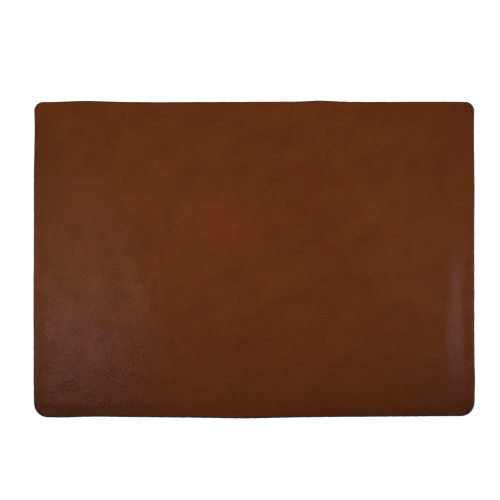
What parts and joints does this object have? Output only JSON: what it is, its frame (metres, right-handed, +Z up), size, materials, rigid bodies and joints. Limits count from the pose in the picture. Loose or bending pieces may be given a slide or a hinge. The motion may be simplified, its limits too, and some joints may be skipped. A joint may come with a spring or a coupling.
{
  "type": "desk mat",
  "caption": "Flat leather desk mat with rounded corners, a stiffener board inside and a suede underside, laid on a desk as a writing and mouse surface.",
  "frame": {"origin": "on the desk surface, under the middle of the mat's rectangle", "axes": "+X along the long side to the right, +Y along the short side to the back, +Z up out of the leather"},
  "size_m": [0.7, 0.5, 0.0041],
  "materials": {
    "full_grain_leather": "aniline-dyed full-grain leather, brown, soft satin",
    "edge_coat": "dark brown edge coat, satin",
    "stiffener_board": "raw pressed fibreboard",
    "contact_adhesive": "dried contact adhesive",
    "black_suede": "black napped suede"
  },
  "bodies": {
    "root": {"suede_backing": "black_suede", "base_adhesive": "contact_adhesive", "stiffener_board": "stiffener_board", "face_adhesive": "contact_adhesive", "leather_face": "full_grain_leather", "edge_coat": "edge_coat"}
  },
  "joints": []
}
